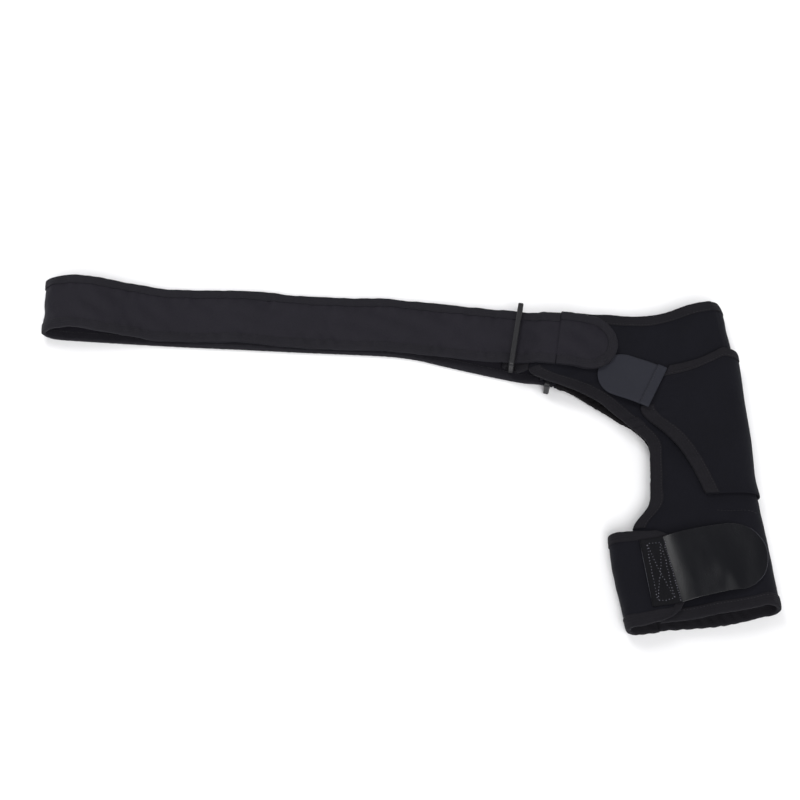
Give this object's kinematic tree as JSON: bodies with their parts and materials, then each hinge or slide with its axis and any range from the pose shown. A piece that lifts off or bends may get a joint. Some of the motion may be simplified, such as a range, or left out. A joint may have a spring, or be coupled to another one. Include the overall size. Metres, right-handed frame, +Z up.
{
  "type": "single shoulder brace",
  "caption": "Single-shoulder neoprene brace lying folded flat, with arm cuff, pocket panel, hook tabs and a long chest strap run through rectangular rings.",
  "frame": {"origin": "middle of the brace's footprint, on the surface that it lies on", "axes": "+X along the strap towards the folded shoulder, +Y from the arm cuff to the neck edge, +Z up off the table"},
  "size_m": [0.677, 0.3546, 0.0311],
  "materials": {
    "neoprene": "matte knit over foam",
    "binding": "ribbed elastic tape",
    "strap": "matte brushed loop knit",
    "gloss_tab": "semi-gloss",
    "grey_tab": "satin",
    "ring": "moulded, satin"
  },
  "bodies": {
    "root": {"shoulder_shell": "neoprene", "pocket_panel": "neoprene", "arm_band": "neoprene", "front_ring_loop": "neoprene", "back_ring_loop": "neoprene", "armpit_binding_front": "binding", "armpit_binding_back": "binding", "neck_binding": "binding", "cuff_binding": "binding", "pocket_side_binding": "binding", "pocket_top_binding": "binding", "arm_band_binding": "binding", "strap_binding_near": "binding", "strap_binding_far": "binding", "front_end_binding": "binding", "back_end_binding": "binding", "chest_strap": "strap", "strap_front_end": "strap", "strap_back_end": "strap", "arm_tab": "gloss_tab", "pocket_tab": "grey_tab", "pocket_tab_hem": "grey_tab", "front_ring": "ring", "back_ring": "ring"}
  },
  "joints": []
}
